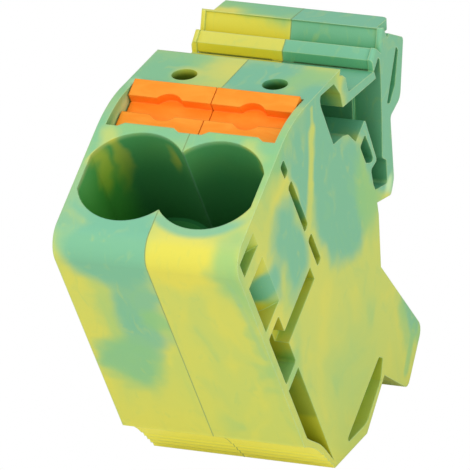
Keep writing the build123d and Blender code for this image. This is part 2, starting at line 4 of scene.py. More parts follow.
import bmesh
import bpy
from mathutils import Euler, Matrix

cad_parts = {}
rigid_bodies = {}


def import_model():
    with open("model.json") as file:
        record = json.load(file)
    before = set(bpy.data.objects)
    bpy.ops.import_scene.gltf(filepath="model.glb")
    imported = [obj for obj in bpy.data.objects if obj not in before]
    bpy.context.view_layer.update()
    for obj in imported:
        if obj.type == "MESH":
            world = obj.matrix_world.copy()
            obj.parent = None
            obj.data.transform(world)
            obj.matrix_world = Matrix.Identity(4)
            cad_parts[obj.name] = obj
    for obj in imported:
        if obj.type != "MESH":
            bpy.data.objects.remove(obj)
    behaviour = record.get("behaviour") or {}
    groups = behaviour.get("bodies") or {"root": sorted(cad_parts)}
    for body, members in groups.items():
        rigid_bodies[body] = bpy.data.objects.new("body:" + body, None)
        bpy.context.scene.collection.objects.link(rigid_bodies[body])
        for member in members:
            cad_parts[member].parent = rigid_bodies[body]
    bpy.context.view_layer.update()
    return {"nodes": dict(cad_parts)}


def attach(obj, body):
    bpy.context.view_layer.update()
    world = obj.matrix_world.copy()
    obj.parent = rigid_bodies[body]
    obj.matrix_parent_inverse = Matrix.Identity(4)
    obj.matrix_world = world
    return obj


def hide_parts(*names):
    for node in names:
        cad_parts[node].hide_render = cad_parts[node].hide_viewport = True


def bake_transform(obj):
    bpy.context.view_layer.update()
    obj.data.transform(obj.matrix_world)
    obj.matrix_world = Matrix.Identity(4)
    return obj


bl_info = {
    "name": "Tap-off block look",
    "version": (1, 0, 0),
    "blender": (4, 5, 0),
    "location": "View3D > Sidebar > Tap-off block",
    "description": "Marbled housing, orange release buttons, metal parts and studio for a plug-in tap-off block",
    "category": "Object",
}

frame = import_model()

HOUSINGS = ("housing_left", "housing_right")
BUTTONS = ("release_button_left", "release_button_right")
SPRINGS = ("clamp_spring_left", "clamp_spring_right")
SPRING_PIECES = ("spring_leg_", "spring_bend_")
CONTACTS = ("current_bar_left", "current_bar_right", "contact_blade")
RIVETS = ("contact_rivets",)

MM_PER_M = 1000.0

# Entry coordinates, in millimetres: x to the right, u backwards from the front face, w up along the leaning entries.
# Their zero lies on the seam and the front face, as high as the funnel mouths. The zero of the row's frame lies on the
# seam at ROW_ZERO_U and ROW_ZERO_W.
ENTRY_LEAN = math.radians(28.2)
ROW_ZERO_U = 7.682
ROW_ZERO_W = -41.603

# Funnels and test holes in entry millimetres; both halves mirror each other.
FUNNEL_X = 4.39
FUNNEL_U = 9.65
FUNNEL_RADIUS = 5.86
BORE_RADIUS = 3.2
CONE_TOP = 14.2
CONE_FOOT = 16.0
BORE_END = 19.2
BORE_FADE = 0.3
TEST_HOLE = (5.14, 26.2, -3.665)
TEST_HOLE_RADIUS = 1.5
TEST_HOLE_LEAN = math.radians(26.5)
TEST_HOLE_END = (3.0, 2.8)
RIM_FADE = 0.1

# Ramps are given as (where 0, where 1). A share is the most that a mask lays on.
# Flow of the two melts: stretch of (x, u, w), noise scales and what the flow and its finer wisps lay on.
SWIRL_SCALE = 0.16
SWIRL_DETAIL = 2.5
FLOW_STRETCH = (0.9, 0.5, 0.4)
FLOW_SCALE = 0.22
FLOW_YELLOW = (0.45, 0.72)
FLOW_YELLOW_SHARE = 0.55
FLOW_GREEN = (0.44, 0.26)
FLOW_GREEN_SHARE = 0.4
WISP_STRETCH = (1.0, 0.6, 0.5)
WISP_SCALE = 0.5
WISP_LIME = (0.55, 0.75)
WISP_LIME_SHARE = 0.22
WISP_GREEN = (0.44, 0.28)
WISP_GREEN_SHARE = 0.14
WAVER_SCALE = 0.35
STREAK_EDGE = (1.5, 0.4)

# Funnels: depth at which their deep green has come in, yellow streaks as (centre, reach), and the collar in front.
FUNNEL_GREEN = (0.05, 0.8)
FUNNEL_GREEN_SHARE = 0.92
FUNNEL_STREAK_SOFTNESS = 0.6
FUNNEL_STREAK_SHARE = 0.7
FUNNEL_STREAKS = (
    ((-9.4, 12.2, -2.5), (1.1, 1.6, 4.0)),
    ((-7.6, 14.4, -3.0), (0.7, 1.4, 5.0)),
    ((-2.2, 14.9, -4.0), (0.8, 1.4, 2.2)),
    ((8.9, 13.2, -1.2), (0.9, 1.4, 1.6)),
)
FUNNEL_ROUGHER = 0.35
COLLAR_REACH = (FUNNEL_RADIUS + 1.5, FUNNEL_RADIUS + 0.6)
COLLAR_BACK_U = (6.6, 4.6)
COLLAR_DEPTH = (1.6, 0.4)
COLLAR_SHARE = 0.85
RIDGE_X = (0.16, 0.05)
RIDGE_SHARE = 0.36
# Where the funnels' outer wall is thin, across x, the painted glow comes in.
THIN_WALL_X = (7.2, 9.4)

# Painted shade in the openings: a slow part, over the holes' depth here, and a quick part just inside the rim.
HOLE_SHADE_DEPTH = 0.9
DARK_START = 0.05
DARK_SLOW_SHARE = 0.55
DARK_QUICK_SHARE = 0.45
DARK_QUICK_DEPTH = 0.9

# Painted sheen on surfaces that face up, and painted light bounced from the floor on the surface that faces down, low
# at the front.
SHEEN_UP = (0.55, 0.9)
SHEEN_SHARE = 0.06
COVE_DOWN = (-0.02, -0.3)
COVE_W = (-30.6, -31.6)
COVE_U = (4.4, 3.9)

# Seam between the halves, the sharp edges that take the painted highlight, and the fine grain of the moulded surface
SEAM_X = (0.11, 0.02)
SEAM_SHARE = 0.55
SEAM_TINT = (0.3, 0.36, 0.2, 1.0)
SHARP_EDGE = (0.995, 0.90)
GRAIN_SCALE = 9.0
GRAIN_ROUGH = (0.2, 0.8)
GRAIN_ROUGHER = 0.08
GRAIN_BUMP = 0.05
GRAIN_DEPTH = 0.00005
PLASTIC_SPECULAR = 0.25
UNTINTED = (1.0, 1.0, 1.0, 1.0)

# Release buttons
ORANGE_STRETCH = (0.4, 1.0, 1.0)
ORANGE_FLOW_SCALE = 0.7
ORANGE_FLOW = (0.3, 0.75)
ORANGE_CAVITY_SHADE = 0.45
ORANGE_GRAIN_SCALE = 8.0
ORANGE_BUMP = 0.04

# Rolled metals: light colour, darker clouds, roughness and the scale of the rolling lines
METALS = {
    "spring_strip": ((0.60, 0.61, 0.63, 1.0), (0.42, 0.42, 0.43, 1.0), 0.24, 1.6),
    "tinned_bar": ((0.80, 0.80, 0.78, 1.0), (0.62, 0.62, 0.60, 1.0), 0.30, 1.2),
    "rivet_metal": ((0.80, 0.62, 0.28, 1.0), (0.60, 0.44, 0.18, 1.0), 0.28, 2.0),
}
ROLLED_STRETCH = (6.0, 0.5, 0.5)
CLOUD_SCALE = 0.5
CLOUD_RISE = (0.35, 0.7)
CLOUD_SHARE = 0.6
LINE_ROUGH = (0.3, 0.7)
LINE_ROUGHER = 0.12
LINE_BUMP = 0.12
LINE_DEPTH = 0.00002

# Clamping springs: middle of the bend as (u, w); height just under a pressed button's foot, where the top of the bend
# is flattened; how many stations the leg, the bend and the heel have, and how the leg's crowd towards the bend.
SPRING_BEND = (18.2, -24.0)
FOOT_STOP_W = -22.01
LEG_STEPS = 28
LEG_CROWDING = 1.5
BEND_STEPS = 28
HEEL_STEPS = 4
EDGE_SEGMENTS = 2

# Studio, in metres
FLOOR_SIZE = 12.0
FLOOR_COLOUR = (0.86, 0.86, 0.86, 1.0)
WHITE = (1.0, 1.0, 1.0, 1.0)
LIGHT_TARGET = (0.0, 0.0, 0.024)
KEY_PLACE = (-0.12, -0.60, 0.70)
KEY_SIZE = 0.5
FILL_PLACE = (0.75, -0.15, 0.35)
FILL_SIZE = 0.6
LOW_PLACE = (0.10, -0.75, 0.12)
LOW_SIZE = 0.6
SENSOR_MM = 36.0
CLIP_NEAR = 0.05
CLIP_FAR = 30.0


class Sock:
    """A value in a shader, with arithmetic that adds the nodes it needs."""

    def __init__(self, graph, out):
        self.graph = graph
        self.out = out

    def __add__(self, other):
        return self.graph.math("ADD", self, other)

    __radd__ = __add__

    def __sub__(self, other):
        return self.graph.math("SUBTRACT", self, other)

    def __rsub__(self, other):
        return self.graph.math("SUBTRACT", other, self)

    def __mul__(self, other):
        return self.graph.math("MULTIPLY", self, other)

    __rmul__ = __mul__

    def __truediv__(self, other):
        return self.graph.math("DIVIDE", self, other)

    def __rtruediv__(self, other):
        return self.graph.math("DIVIDE", other, self)

    def __pow__(self, other):
        return self.graph.math("POWER", self, other)

    def __neg__(self):
        return self.graph.math("MULTIPLY", self, -1.0)


class Graph:
    """Builds one material."""

    def __init__(self, name):
        self.material = bpy.data.materials.new(name)
        self.material.use_nodes = True
        self.tree = self.material.node_tree
        self.tree.nodes.clear()

    def node(self, kind, inputs=None, out=0, **settings):
        """Adds a node, sets its properties and inputs, and returns one of its outputs."""
        node = self.tree.nodes.new(kind)
        for key, value in settings.items():
            setattr(node, key, value)
        for key, value in (inputs or {}).items():
            self.feed(node.inputs[key], value)
        return Sock(self, node.outputs[out])

    def feed(self, socket, value):
        """Links a value to a socket, or sets it there when it is constant."""
        if isinstance(value, Sock):
            self.tree.links.new(value.out, socket)
        else:
            socket.default_value = value

    def math(self, operation, a, b=0.0):
        """Maths on two numbers."""
        return self.node("ShaderNodeMath", {0: a, 1: b}, operation=operation)

    def mix(self, factor, a, b):
        """Blends two colours."""
        return self.node("ShaderNodeMix", {0: factor, 6: a, 7: b}, out=2, data_type="RGBA")

    def multiply(self, a, b):
        """Multiplies two colours."""
        return self.node("ShaderNodeMix", {0: 1.0, 6: a, 7: b}, out=2, data_type="RGBA", blend_type="MULTIPLY")

    def ramp(self, value, low, high):
        """Rises smoothly from 0 at low to 1 at high, which may lie below it."""
        return self.node("ShaderNodeMapRange", {0: value, 1: low, 2: high, 3: 0.0, 4: 1.0},
                         interpolation_type="SMOOTHSTEP")

    def rounded(self, radius_mm):
        """The normal with its edges rounded by a radius."""
        return self.node("ShaderNodeBevel", {"Radius": radius_mm / MM_PER_M}, samples=8)

    def cavity_shaded(self, colour, reach_mm, strength):
        """Painted shade: deeper, more saturated colour where walls stand close, standing in for the plastic's own
        colour bounced between them.
        """
        open_sky = self.node("ShaderNodeAmbientOcclusion", {"Distance": reach_mm / MM_PER_M}, out="AO", samples=8,
                             only_local=True)
        return self.node("ShaderNodeGamma", {0: colour, 1: (1.0 - open_sky) * strength + 1.0})

    def edge(self, rounded):
        """1 on a sharp edge, falling to 0 beside it."""
        true_normal = self.node("ShaderNodeNewGeometry", out="True Normal")
        along = self.dot(rounded, true_normal)
        return self.ramp(along, *SHARP_EDGE)

    def dot(self, a, b):
        """Dot product of two vectors."""
        return self.node("ShaderNodeVectorMath", {0: a, 1: b}, out="Value", operation="DOT_PRODUCT")

    def vector(self, x, y, z):
        """A vector from three numbers."""
        return self.node("ShaderNodeCombineXYZ", {0: x, 1: y, 2: z})

    def noise(self, place, scale, detail=2.0, roughness=0.5, distortion=0.0):
        """Soft noise between 0 and 1."""
        return self.node("ShaderNodeTexNoise", {
            "Vector": place, "Scale": scale, "Detail": detail, "Roughness": roughness, "Distortion": distortion,
        })

    def bump(self, height, strength, depth, normal=None):
        """The normal with fine relief."""
        inputs = {"Strength": strength, "Distance": depth, "Height": height}
        if normal is not None:
            inputs["Normal"] = normal
        return self.node("ShaderNodeBump", inputs)

    def surface(self, shader):
        """Ends the material with a shader and returns it."""
        output = self.tree.nodes.new("ShaderNodeOutputMaterial")
        self.feed(output.inputs["Surface"], shader)
        return self.material

    def principled(self, **inputs):
        """The main shader, its inputs given by name with underscores for spaces."""
        return self.node("ShaderNodeBsdfPrincipled", {key.replace("_", " "): v for key, v in inputs.items()})


class Entry:
    """Entry coordinates of the shaded point, in millimetres."""

    def __init__(self, graph):
        self.graph = graph
        place = graph.node("ShaderNodeTexCoord", out="Object")
        x, y, z = graph.node("ShaderNodeSeparateXYZ", {0: place}).out.node.outputs
        y = Sock(graph, y) * MM_PER_M
        z = Sock(graph, z) * MM_PER_M
        self.x = Sock(graph, x) * MM_PER_M
        self.x_abs = graph.math("ABSOLUTE", self.x)
        self.u = y * math.cos(ENTRY_LEAN) + z * math.sin(ENTRY_LEAN) + ROW_ZERO_U
        self.w = z * math.cos(ENTRY_LEAN) - y * math.sin(ENTRY_LEAN) + ROW_ZERO_W
        self.place = graph.vector(self.x, self.u, self.w)

    def stretched(self, shares):
        """The same coordinates, each times its own share."""
        return self.graph.vector(*(axis * share for axis, share in zip((self.x, self.u, self.w), shares)))

    def swirled(self, amount, scale):
        """The same coordinates pushed about by slow noise, for edges that run like mixed melt."""
        g = self.graph
        push = g.node("ShaderNodeTexNoise", {"Vector": self.place, "Scale": scale, "Detail": SWIRL_DETAIL},
                      out="Color")
        parts = g.node("ShaderNodeSeparateColor", {0: push}).out.node.outputs
        return tuple(axis + (Sock(g, part) - 0.5) * amount for axis, part in zip((self.x, self.u, self.w), parts))


def patch(graph, at, centre, reach, soft):
    """1 inside an ellipsoid, 0 outside it, with a soft edge of that share of its reach."""
    total = 0.0
    for value, middle, radius in zip(at, centre, reach):
        total = ((value - middle) / radius) ** 2.0 + total
    return graph.ramp(total ** 0.5, 1.0 + soft, 1.0 - soft)


def streak(graph, at, start, end, width):
    """1 along the line between two points, fading out at that width from it."""
    here = graph.vector(*at)
    along = [b - a for a, b in zip(start, end)]
    run = sum(v * v for v in along)
    offset = graph.node("ShaderNodeVectorMath", {0: here, 1: start}, operation="SUBTRACT")
    share = graph.dot(offset, along) / run
    share = graph.math("MINIMUM", graph.math("MAXIMUM", share, 0.0), 1.0)
    foot = graph.node("ShaderNodeVectorMath", {0: along, "Scale": share}, operation="SCALE")
    away = graph.node("ShaderNodeVectorMath", {0: offset, 1: foot}, out="Value", operation="DISTANCE")
    outer, inner = STREAK_EDGE
    return graph.ramp(away, width * outer, width * inner)


def paint(graph, at, base, patches):
    """Lays patches of colour over a base, each given as colour, centre, reach, softness and strength."""
    colour = base
    for shade, centre, reach, soft, strength in patches:
        colour = graph.mix(patch(graph, at, centre, reach, soft) * strength, colour, shade)
    return colour


MELTS = ("yellow", "teal", "green", "lime", "pale", "bright")

# Patches of the melts, in entry millimetres: (melt, centre, reach, softness, strength).
LEFT_PATCHES = (
    ("green", (-7.0, 0.0, -12.0), (3.0, 4.0, 7.0), 0.7, 0.4),
    ("yellow", (-9.9, 0.0, -12.0), (1.7, 4.0, 12.0), 0.7, 0.7),
    ("yellow", (-6.0, 0.0, -32.0), (12.0, 6.0, 8.0), 0.7, 0.6),
    ("teal", (-3.8, 1.2, -1.0), (6.4, 4.6, 5.0), 0.3, 1.0),
    ("teal", (-2.3, 0.0, -8.5), (2.7, 4.0, 6.0), 0.45, 0.9),
    ("teal", (-3.8, 0.0, -14.0), (2.2, 4.0, 4.4), 0.5, 0.85),
    ("green", (-5.9, 0.0, -19.2), (3.1, 4.0, 4.2), 0.4, 0.9),
    ("teal", (-5.9, 0.0, -19.0), (2.8, 4.0, 3.8), 0.5, 0.4),
    ("green", (-1.0, 0.0, -12.4), (1.5, 3.0, 2.2), 0.5, 0.8),
    ("green", (-6.0, 14.5, 0.5), (7.0, 5.5, 3.0), 0.5, 1.0),
    ("teal", (-1.0, 14.8, 0.5), (6.0, 1.3, 2.0), 0.6, 0.5),
    ("teal", (-10.2, 19.5, -1.0), (2.2, 7.5, 4.0), 0.5, 0.6),
    ("lime", (-8.0, 14.6, 0.5), (1.5, 1.5, 2.0), 0.6, 0.8),
    ("teal", (-9.8, 5.6, 0.5), (1.8, 5.0, 3.4), 0.6, 0.75),
    ("green", (-7.4, 26.0, -4.0), (4.8, 6.5, 4.0), 0.5, 1.0),
    ("teal", (-9.0, 26.5, -4.0), (3.6, 5.0, 4.0), 0.6, 0.6),
    ("yellow", (-1.2, 28.2, -4.6), (3.4, 3.0, 3.0), 0.5, 0.65),
    ("green", (-5.0, 30.0, -18.0), (12.0, 9.0, 9.0), 0.3, 0.9),
    ("yellow", (-5.5, 38.6, -12.4), (12.0, 4.6, 3.8), 0.3, 1.0),
    ("green", (-4.0, 43.0, -12.2), (9.5, 2.4, 2.2), 0.4, 0.95),
    ("teal", (-2.0, 43.4, -12.8), (5.0, 2.4, 1.8), 0.6, 0.8),
    ("teal", (-10.4, 20.0, -16.0), (3.0, 9.0, 9.0), 0.35, 0.95),
)
RIGHT_PATCHES = (
    ("yellow", (3.7, 0.0, -0.6), (4.3, 5.0, 4.6), 0.4, 1.0),
    ("yellow", (0.6, 0.0, -20.0), (1.8, 4.0, 14.0), 0.7, 0.4),
    ("green", (9.3, 0.4, -2.6), (1.9, 3.4, 5.4), 0.6, 0.75),
    ("green", (10.2, 0.0, -12.0), (1.0, 2.0, 11.0), 0.6, 0.42),
    ("green", (6.0, 14.0, 0.5), (7.4, 6.5, 3.4), 0.4, 1.0),
    ("teal", (3.0, 14.8, 0.5), (5.0, 1.3, 2.0), 0.6, 0.5),
    ("lime", (7.6, 14.6, 0.5), (1.8, 1.8, 2.4), 0.6, 0.8),
    ("teal", (2.2, 27.0, -4.0), (5.2, 6.6, 4.0), 0.4, 1.0),
    ("green", (8.4, 27.0, -4.0), (3.2, 4.4, 3.0), 0.6, 0.8),
    ("teal", (10.4, 24.0, -8.0), (4.0, 5.5, 5.5), 0.35, 1.0),
    ("teal", (10.4, 22.4, -16.6), (4.0, 6.2, 8.6), 0.2, 1.0),
    ("teal", (10.4, 16.4, -6.0), (2.4, 1.9, 6.2), 0.4, 1.0),
    ("teal", (9.6, 10.5, -10.8), (3.4, 3.4, 6.0), 0.35, 1.0),
    ("yellow", (10.4, 12.4, -2.4), (3.0, 1.8, 2.4), 0.5, 0.35),
    ("teal", (8.0, 5.5, -10.6), (3.0, 2.6, 2.6), 0.4, 1.0),
    ("green", (9.6, 2.6, -22.4), (3.0, 1.8, 1.8), 0.5, 0.7),
    ("yellow", (8.0, 3.5, -16.6), (4.0, 3.0, 3.0), 0.5, 0.6),
    ("green", (10.4, 13.0, -34.0), (3.0, 7.0, 7.0), 0.8, 0.3),
    ("green", (10.4, 27.6, -22.6), (3.0, 2.6, 5.0), 0.5, 0.8),
    ("green", (10.4, 28.2, -21.5), (3.0, 3.4, 4.6), 0.5, 0.7),
    ("teal", (6.0, 41.0, -16.0), (16.0, 12.0, 15.0), 0.08, 1.0),
    ("teal", (6.0, 33.4, -23.4), (16.0, 4.4, 6.2), 0.12, 1.0),
    ("teal", (4.0, 29.0, -13.0), (5.6, 5.0, 8.0), 0.2, 1.0),
    ("pale", (10.4, 31.4, -27.4), (3.0, 1.2, 1.2), 0.6, 0.8),
    ("green", (9.0, 27.8, -43.5), (5.0, 1.8, 4.6), 0.5, 0.8),
)
# Streaks between two points, in entry millimetres: (melt, start, end, width, strength).
LEFT_STREAKS = (
    ("yellow", (-5.14, 26.1, -4.6), (-5.14, 25.2, -6.2), 1.5, 0.9),
    # Painted light: the pale streak lightens the shaded end wall of the left button pocket.
    ("pale", (-9.6, 16.8, -2.0), (-9.6, 23.6, -3.0), 0.9, 0.7),
)
RIGHT_STREAKS = (
    ("teal", (10.4, 24.3, -4.0), (10.4, 19.0, -8.0), 2.4, 1.0),
    ("teal", (10.4, 18.6, -3.0), (10.4, 16.4, -9.6), 1.3, 1.0),
    ("teal", (10.4, 25.5, -4.2), (10.4, 18.5, -1.8), 1.6, 0.85),
    ("teal", (10.4, 24.0, -10.0), (10.4, 19.4, -15.0), 2.6, 1.0),
    ("lime", (10.4, 23.2, -3.2), (10.4, 21.8, -5.2), 0.35, 0.6),
    ("lime", (10.4, 21.8, -5.2), (10.4, 18.2, -9.6), 0.75, 0.95),
    ("lime", (10.4, 18.2, -9.6), (10.4, 15.2, -12.6), 0.85, 0.9),
    ("teal", (8.6, 0.6, -1.6), (9.3, 0.0, -7.0), 0.35, 0.22),
    ("teal", (9.3, 0.0, -7.0), (9.8, 0.0, -16.0), 0.3, 0.2),
    ("green", (10.4, 25.8, -40.5), (10.4, 25.4, -44.5), 1.2, 0.5),
    ("teal", (10.4, 27.8, -39.6), (10.4, 27.1, -45.0), 1.0, 0.75),
    ("green", (10.4, 26.9, -45.0), (10.4, 22.6, -47.0), 0.6, 0.7),
)


def near_axis(entry, centre, lean=0.0):
    """Distance from an axis that stands at (x, u, w) = centre, leaning back by an angle, and depth along it."""
    across = entry.x_abs - centre[0]
    back = (entry.u - centre[1]) * math.cos(lean) - (entry.w - centre[2]) * math.sin(lean)
    depth = -(entry.u - centre[1]) * math.sin(lean) - (entry.w - centre[2]) * math.cos(lean)
    return (across ** 2.0 + back * back) ** 0.5, depth


def mixed_melts(g, entry, at, patches, streaks, melts, props):
    """Colour of the two melts as they flow into each other, before the openings are tinted."""
    slow = g.noise(entry.stretched(FLOW_STRETCH), FLOW_SCALE, roughness=0.45, distortion=1.0)
    base = g.mix(g.ramp(slow, *FLOW_YELLOW) * FLOW_YELLOW_SHARE, melts["lime"], melts["yellow"])
    base = g.mix(g.ramp(slow, *FLOW_GREEN) * FLOW_GREEN_SHARE, base, melts["green"])
    colour = paint(g, at, base, [(melts[melt], *place) for melt, *place in patches])
    waver = (g.noise(entry.place, WAVER_SCALE) - 0.5) * props.waver_mm
    for melt, start, end, width, strength in streaks:
        line = streak(g, (entry.x, entry.u + waver, entry.w), start, end, width)
        colour = g.mix(line * strength, colour, melts[melt])
    wisp = g.noise(entry.stretched(WISP_STRETCH), WISP_SCALE, detail=2.5, distortion=1.6)
    colour = g.mix(g.ramp(wisp, *WISP_LIME) * WISP_LIME_SHARE, colour, melts["lime"])
    return g.mix(g.ramp(wisp, *WISP_GREEN) * WISP_GREEN_SHARE, colour, melts["green"])


def painted_light_by_facing(g, entry, colour, melts, props):
    """A painted cool sheen where the surface faces up, and painted light bounced from the floor where it faces down at
    the cove.
    """
    facing = g.node("ShaderNodeNewGeometry", out="Normal")
    upright = g.node("ShaderNodeSeparateXYZ", {0: facing}, out="Z")
    colour = g.mix(g.ramp(upright, *SHEEN_UP) * SHEEN_SHARE, colour, tuple(props.sheen))
    # Painted light bounced from the floor, on the low front surface that faces down.
    thin = g.ramp(upright, *COVE_DOWN) * g.ramp(entry.w, *COVE_W) * g.ramp(entry.u, *COVE_U)
    return g.mix(thin, colour, melts["bright"])


def marbled(name, patches, streaks, props):
    """Moulded plastic in which two melts meet in soft patches and streaks."""
    g = Graph(name)
    entry = Entry(g)
    at = entry.swirled(props.swirl_mm, SWIRL_SCALE)
    melts = {melt: tuple(getattr(props, melt)) for melt in MELTS}
    colour = mixed_melts(g, entry, at, patches, streaks, melts, props)

    # Masks of the funnels, which narrow through a cone to the bores, and of the test holes
    funnel_away, funnel_depth = near_axis(entry, (FUNNEL_X, FUNNEL_U, 0.0))
    hole_away, hole_depth = near_axis(entry, TEST_HOLE, TEST_HOLE_LEAN)
    narrowing = g.ramp(funnel_depth, CONE_TOP, CONE_FOOT) * (FUNNEL_RADIUS - BORE_RADIUS)
    funnel = g.ramp(funnel_away + narrowing, FUNNEL_RADIUS + RIM_FADE, FUNNEL_RADIUS)
    funnel = funnel * g.ramp(funnel_depth, BORE_END + BORE_FADE, BORE_END)
    hole = g.ramp(hole_away, TEST_HOLE_RADIUS + RIM_FADE, TEST_HOLE_RADIUS) * g.ramp(hole_depth, *TEST_HOLE_END)
    outside = 1.0 - g.math("MAXIMUM", funnel, hole)

    deep = funnel * g.ramp(funnel_depth, *FUNNEL_GREEN) * FUNNEL_GREEN_SHARE
    colour = g.mix(deep, colour, tuple(props.funnel_green))
    for centre, reach in FUNNEL_STREAKS:
        amount = funnel * patch(g, at, centre, reach, FUNNEL_STREAK_SOFTNESS) * FUNNEL_STREAK_SHARE
        colour = g.mix(amount, colour, melts["yellow"])
    collar = g.ramp(funnel_away, *COLLAR_REACH) * g.ramp(entry.u, *COLLAR_BACK_U)
    colour = g.mix(collar * g.ramp(funnel_depth, *COLLAR_DEPTH) * COLLAR_SHARE, colour, melts["teal"])
    colour = painted_light_by_facing(g, entry, colour, melts, props)

    # Near the thin outer wall the funnels' painted shade gives way to a painted glow, as if light came through the
    # wall.
    funnel_shade = g.mix(g.ramp(entry.x_abs, *THIN_WALL_X), tuple(props.funnel_shade_tint), tuple(props.glow_through_tint))
    # Painted shade deep in the funnels and test holes, multiplied onto the colour.
    painted_shade = (
        (funnel, funnel_depth, props.funnel_shade_depth_mm, funnel_shade),
        (hole, hole_depth, HOLE_SHADE_DEPTH, tuple(props.hole_shade_tint)),
    )
    for inside, depth, reach, tint in painted_shade:
        slow = g.ramp(depth, DARK_START, reach) * DARK_SLOW_SHARE
        quick = g.ramp(depth, DARK_START, DARK_QUICK_DEPTH) * DARK_QUICK_SHARE
        colour = g.multiply(colour, g.mix(inside * (slow + quick), UNTINTED, tint))
    ridge = funnel * g.ramp(entry.x_abs, *RIDGE_X)
    colour = g.mix(ridge * RIDGE_SHARE, colour, melts["teal"])

    # Painted highlights on the sharp edges, painted shade in the corners, and the seam
    grain = g.noise(entry.place, GRAIN_SCALE, detail=3.0)
    rounded = g.rounded(props.edge_round_mm)
    colour = g.mix(g.edge(rounded) * outside * props.edge_highlight, colour, melts["pale"])
    colour = g.cavity_shaded(colour, props.cavity_shade_reach_mm, props.cavity_shade)
    seam = g.ramp(entry.x_abs, *SEAM_X) * outside
    colour = g.multiply(colour, g.mix(seam * SEAM_SHARE, UNTINTED, SEAM_TINT))
    roughness = g.ramp(grain, *GRAIN_ROUGH) * GRAIN_ROUGHER + funnel * FUNNEL_ROUGHER + props.plastic_roughness
    shader = g.principled(
        Base_Color=colour, Roughness=roughness, Normal=g.bump(grain, GRAIN_BUMP, GRAIN_DEPTH, rounded),
        Specular_IOR_Level=PLASTIC_SPECULAR,
    )
    return g.surface(shader)


def orange_plastic(name, props):
    """Moulded orange plastic, a little paler in soft, stretched flow streaks."""
    g = Graph(name)
    entry = Entry(g)
    flow = g.noise(entry.stretched(ORANGE_STRETCH), ORANGE_FLOW_SCALE, detail=3.0, distortion=0.6)
    colour = g.mix(g.ramp(flow, *ORANGE_FLOW), tuple(props.orange), tuple(props.orange_pale))
    # Painted shade in the buttons' corners, weaker than on the housing.
    colour = g.cavity_shaded(colour, props.cavity_shade_reach_mm, props.cavity_shade * ORANGE_CAVITY_SHADE)
    grain = g.noise(entry.place, ORANGE_GRAIN_SCALE, detail=3.0)
    rounded = g.rounded(props.edge_round_mm)
    shader = g.principled(
        Base_Color=colour, Roughness=g.ramp(grain, *GRAIN_ROUGH) * GRAIN_ROUGHER + props.plastic_roughness,
        Normal=g.bump(grain, ORANGE_BUMP, GRAIN_DEPTH, rounded), Specular_IOR_Level=PLASTIC_SPECULAR,
    )
    return g.surface(shader)


def rolled_metal(name):
    """Rolled strip: fine lines along the rolling direction and a few darker clouds."""
    light, dark, roughness, line_scale = METALS[name]
    g = Graph(name)
    entry = Entry(g)
    lines = g.noise(entry.stretched(ROLLED_STRETCH), line_scale, detail=3.0)
    clouds = g.noise(entry.place, CLOUD_SCALE, detail=3.0)
    colour = g.mix(g.ramp(clouds, *CLOUD_RISE) * CLOUD_SHARE, light, dark)
    shader = g.principled(
        Base_Color=colour, Metallic=1.0, Roughness=g.ramp(lines, *LINE_ROUGH) * LINE_ROUGHER + roughness,
        Normal=g.bump(lines, LINE_BUMP, LINE_DEPTH),
    )
    return g.surface(shader)


def row(x, u, w):
    """Place in the row's frame, in metres, of a point in entry millimetres."""
    back = u - ROW_ZERO_U
    up = w - ROW_ZERO_W
    return (
        x / MM_PER_M,
        (back * math.cos(ENTRY_LEAN) - up * math.sin(ENTRY_LEAN)) / MM_PER_M,
        (back * math.sin(ENTRY_LEAN) + up * math.cos(ENTRY_LEAN)) / MM_PER_M,
    )


def leg_point(props, run):
    """Point on the middle line of a spring's upper leg, that far in front of the bend."""
    slope = props.upper_slope
    return (
        SPRING_BEND[0] - props.bend_radius_mm * math.sin(slope) - run,
        SPRING_BEND[1] + props.bend_radius_mm * math.cos(slope) - run * math.tan(slope),
    )


def leg_stations(props):
    """Middle line of the upper leg from the bend forwards, closer together near the bend: (u, w, normal)."""
    normal = (-math.sin(props.upper_slope), math.cos(props.upper_slope))
    runs = [props.leg_run_mm * (i / LEG_STEPS) ** LEG_CROWDING for i in range(LEG_STEPS + 1)]
    return [leg_point(props, run) + normal for run in runs]


def bend_stations(props):
    """Middle line of the bend and the lower leg, from the upper leg round to the heel: (u, w, normal)."""
    first = math.pi / 2.0 + props.upper_slope
    last = props.lower_slope - math.pi / 2.0
    stations = []
    for i in range(BEND_STEPS + 1):
        turn = first + (last - first) * i / BEND_STEPS
        normal = (math.cos(turn), math.sin(turn))
        stations.append((
            SPRING_BEND[0] + props.bend_radius_mm * normal[0],
            SPRING_BEND[1] + props.bend_radius_mm * normal[1],
        ) + normal)
    u, w, *normal = stations[-1]
    for i in range(1, HEEL_STEPS + 1):
        run = props.heel_run_mm * i / HEEL_STEPS
        stations.append((u - run, w - run * math.tan(props.lower_slope), *normal))
    return stations


